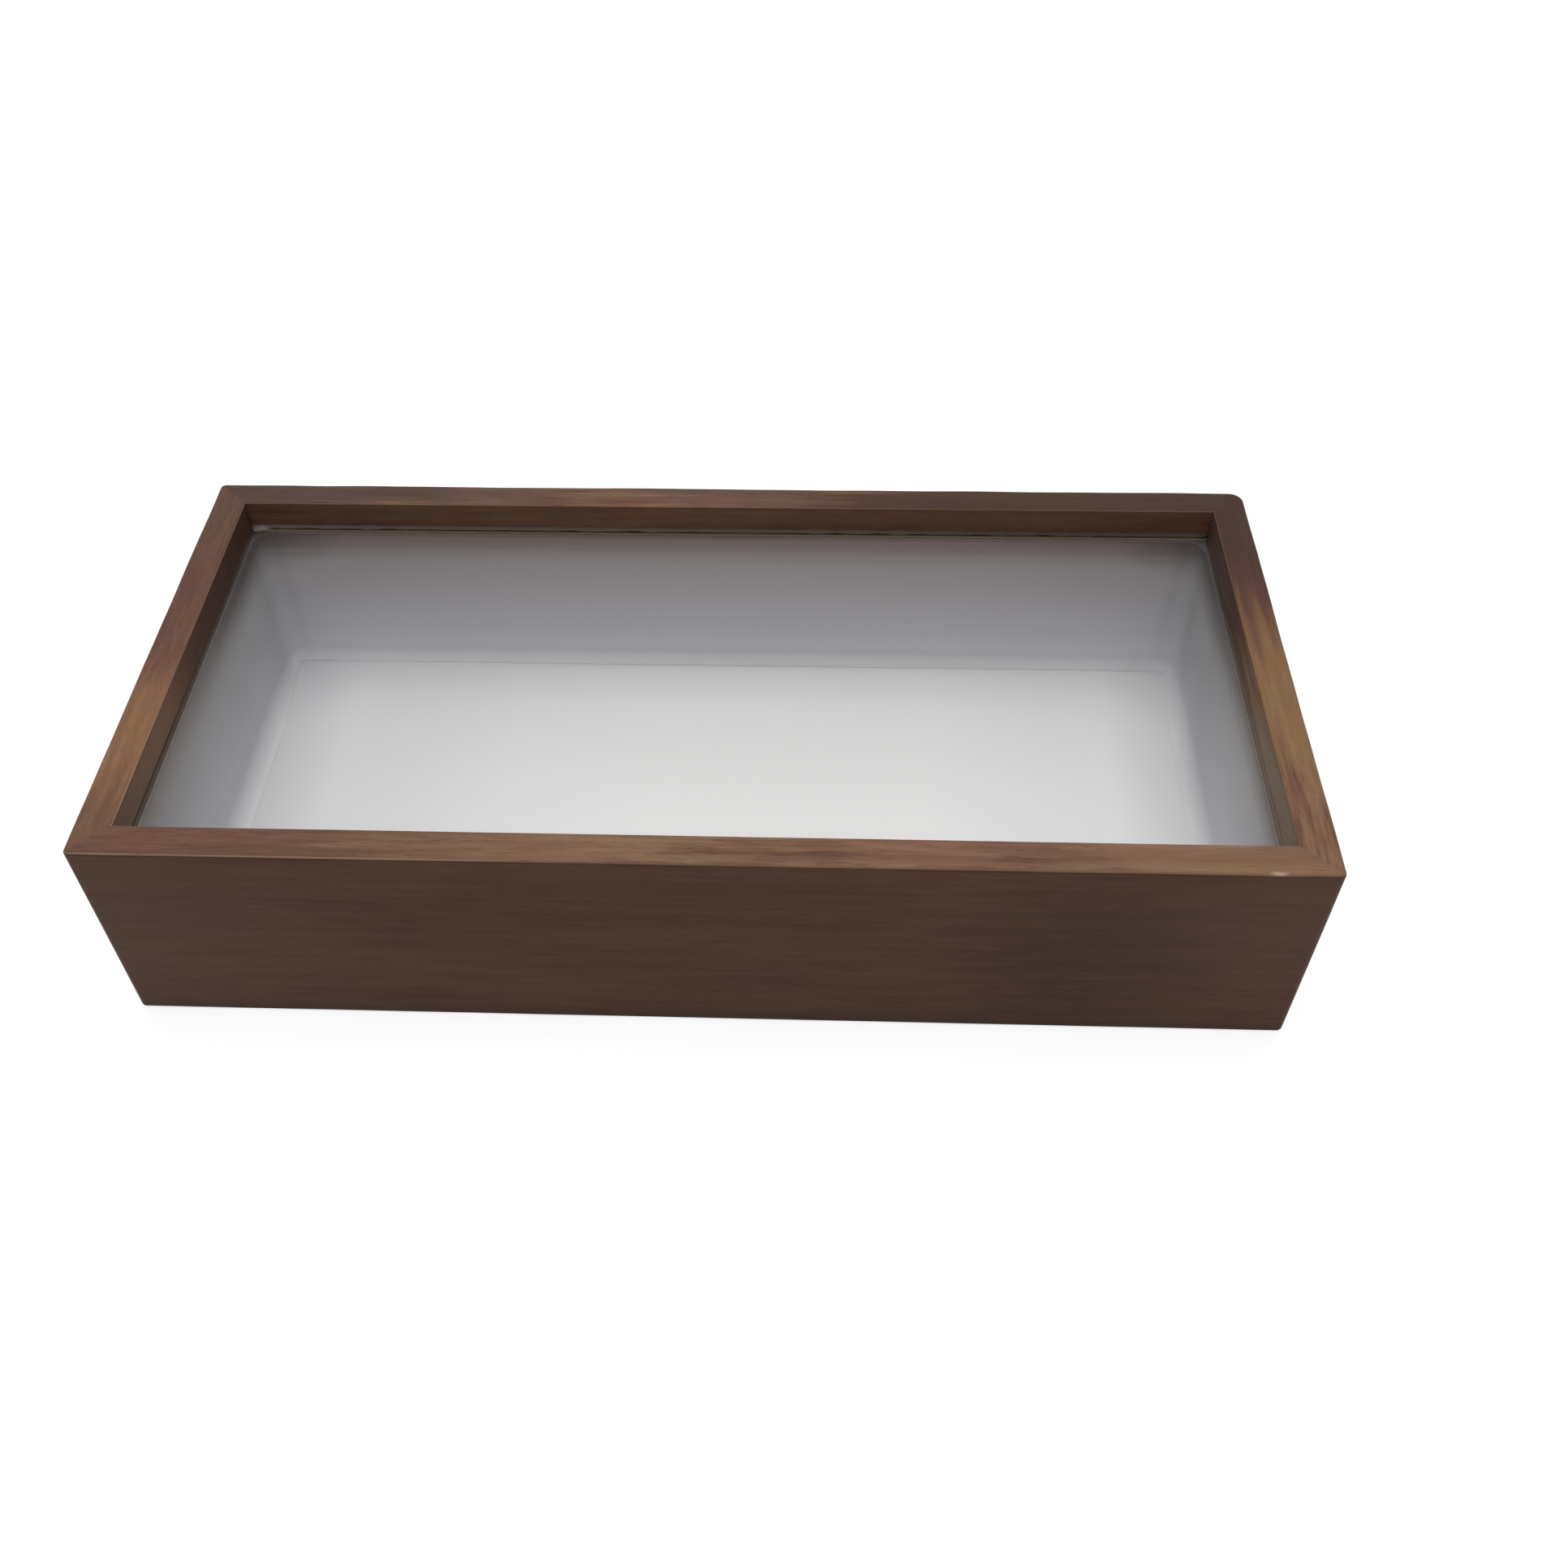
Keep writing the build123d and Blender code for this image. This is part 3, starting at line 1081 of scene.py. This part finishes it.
def glue_line_rings():
    """A thin uneven fillet between the pane and the back rail's lip."""
    back = GLUE_LIP + GLUE_IN_WOOD
    steps = int((GLUE_TO - GLUE_FROM) / GLUE_STEP)
    rings = []
    for step in range(steps + 1):
        along = GLUE_FROM + (GLUE_TO - GLUE_FROM) * step / steps
        wave = field(Vector((along / GLUE_WAVE_LENGTH, GLUE_WAVE_ROW, 0)))
        uneven = GLUE_MEAN + GLUE_UNEVEN * wave
        ring = [Vector((along, back, PANE_TOP + up)) for up in (GLUE_ABOVE_PANE, GLUE_BACK_TOP)]
        for k in range(GLUE_HOLLOW_STEPS + 1):
            angle = math.radians(90 * k / GLUE_HOLLOW_STEPS)
            bow = uneven * (1 - GLUE_HOLLOW * math.sin(2 * angle))
            away = GLUE_WIDTH * bow * math.sin(angle)
            up = GLUE_HEIGHT * bow * math.cos(angle)
            depth = GLUE_LIP + GLUE_AT_WOOD - away
            ring.append(Vector((along, depth, PANE_TOP + GLUE_ABOVE_PANE + up)))
        rings.append(ring)
    return rings


def glue_blob_rings():
    """A flattened, uneven smear in the back left corner."""
    rings = []
    for k in range(1, BLOB_ROWS):
        tilt = math.pi * k / BLOB_ROWS
        out = math.sin(tilt)
        ring = []
        for step in range(BLOB_POINTS):
            turn = 2 * math.pi * step / BLOB_POINTS
            way = Vector((out * math.cos(turn), out * math.sin(turn), math.cos(tilt)))
            size = 1 + BLOB_UNEVEN * field(way * BLOB_LUMPS + BLOB_LUMPS_FROM)
            bent = way.y * BLOB_SIZE[1] + BLOB_BEND * way.x * way.x
            point = Vector((way.x * BLOB_SIZE[0], bent, way.z * BLOB_SIZE[2]))
            point = Vector(BLOB_CENTRE) + point * size
            point.z = max(point.z, PANE_TOP + GLUE_ABOVE_PANE)
            point.y = min(point.y, GLUE_LIP + GLUE_AT_WOOD)
            ring.append(point)
        rings.append(ring)
    return rings


# ---------------------------------------------------------------- turn buttons

PIVOT_PLACES = (42.0, 35.6)
BUTTON_BOTTOM = 0.41
BUTTON_TOP = 0.75
BUTTON_ROOT = 1.0
BUTTON_TIP = 0.75
BUTTON_REACH = 5.75
BUTTON_HOLE = 0.5
BUTTON_EDGE = 0.07
BUTTON_EDGE_MIDDLE = 0.3 * BUTTON_EDGE
OUTLINE_POINTS = 72


def button_outline(shrink, height):
    """The tapered outline with round ends, drawn in from its edge by shrink."""
    lean = math.degrees(math.acos((BUTTON_ROOT - BUTTON_TIP) / BUTTON_REACH))
    ring = []
    for k in range(OUTLINE_POINTS):
        angle = 360 * k / OUTLINE_POINTS - 180
        at_tip = abs(angle) <= lean
        radius = (BUTTON_TIP if at_tip else BUTTON_ROOT) - shrink
        centre = BUTTON_REACH if at_tip else 0.0
        turn = math.radians(angle)
        ring.append(Vector((centre + radius * math.cos(turn), radius * math.sin(turn), height)))
    return ring


def button_hole(grow, height):
    """The outline of the screw hole, drawn out from its edge by grow."""
    radius = BUTTON_HOLE + grow
    ring = []
    for k in range(OUTLINE_POINTS):
        turn = math.radians(360 * k / OUTLINE_POINTS - 180)
        ring.append(Vector((radius * math.cos(turn), radius * math.sin(turn), height)))
    return ring


def button_rings():
    """A stamped plate with softened edges, from its hole all the way round to it again."""
    middle = BUTTON_EDGE_MIDDLE
    edge = [(0, BUTTON_EDGE), (middle, middle), (BUTTON_EDGE, 0)]
    rings = [button_hole(inset, BUTTON_BOTTOM + lift) for inset, lift in edge]
    rings += [button_outline(inset, BUTTON_BOTTOM + lift) for inset, lift in reversed(edge)]
    rings += [button_outline(inset, BUTTON_TOP - lift) for inset, lift in edge]
    rings += [button_hole(inset, BUTTON_TOP - lift) for inset, lift in reversed(edge)]
    return rings + rings[:1]


# ---------------------------------------------------------------- the pieces

CARD_GRAIN = 1800
CARD_RELIEF = 0.01
PAPER_GRAIN = 2500
PAPER_RELIEF = 0.008
NICKEL_TONE = (0.66, 0.65, 0.62, 1)
SCREW_TONE = (0.72, 0.71, 0.68, 1)
BRAD_TONE = (0.6, 0.6, 0.6, 1)
# The bead's tones: dried glue, toned lighter to paint light over the shaded gap under the back lip,
# lighter toward the left
BEAD_PAINTED_LIGHT_TONES = (linear(92, 82, 76), linear(74, 64, 58))
# The smear's tones: dried glue, toned lighter to paint a glint at the pane's back left corner
SMEAR_GLINT_TONES = (linear(132, 126, 120), linear(120, 113, 107))
SMEAR_SIZE = (1.9, 0.9, 0.9)


def dress(node, material):
    """Give a CAD node that stays in view its material."""
    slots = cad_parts[node].data.materials
    slots.clear()
    slots.append(material)


card = matt_sheet("white_card", card_tone, CARD_GRAIN, CARD_RELIEF)
for seed, side in enumerate(SIDES):
    wood = stained_wood(f"stained_wood_{side}", side not in LONG_SIDES, seed + 1)
    points, faces = skin(rail_rings(side))
    add_piece(f"{side}_rail_shown", points, faces, wood, "case", f"{side}_rail")
    points, faces = skin(liner_rings(side))
    add_piece(f"{side}_liner_shown", points, faces, card, "case", f"{side}_liner")

bead = glue_with_painted_light("bead_glue_painted_light", BEAD_PAINTED_LIGHT_TONES, (0.8, 0.95), (-10, 50))
smear = glue_with_painted_light("smear_glue_glint", SMEAR_GLINT_TONES, (0.35, 0.7), (-70, -67), BLOB_CENTRE, SMEAR_SIZE)
for name, rings, glue in (
    ("glue_line_painted_light", glue_line_rings(), bead),
    ("glue_smear_glint", glue_blob_rings(), smear),
):
    points, faces = skin(rings)
    add_piece(name, points, faces, glue, "case", "back_rail")

nickel = steel("button_steel", NICKEL_TONE, 0.3)
for y_name, y_side in (("front", -1), ("back", 1)):
    for x_name, x_side in (("left", -1), ("right", 1)):
        name = f"{y_name}_{x_name}_turn_button"
        heading = Matrix.Rotation(0 if x_side < 0 else math.pi, 3, "Z")
        pivot = Vector((x_side * PIVOT_PLACES[0], y_side * PIVOT_PLACES[1], 0))
        points, faces = skin(button_rings(), closed_ends=False)
        points = [pivot + heading @ point for point in points]
        add_piece(f"{name}_shown", points, faces, nickel, name, name)

dress("floor_facing", matt_sheet("white_paper", paper_tone, PAPER_GRAIN, PAPER_RELIEF))
dress("glass_pane", pane_glass())
dress("base_board", hardboard())
dress("button_screws", steel("screw_steel", SCREW_TONE, 0.22))
dress("corner_brads", steel("brad_steel", BRAD_TONE, 0.35))
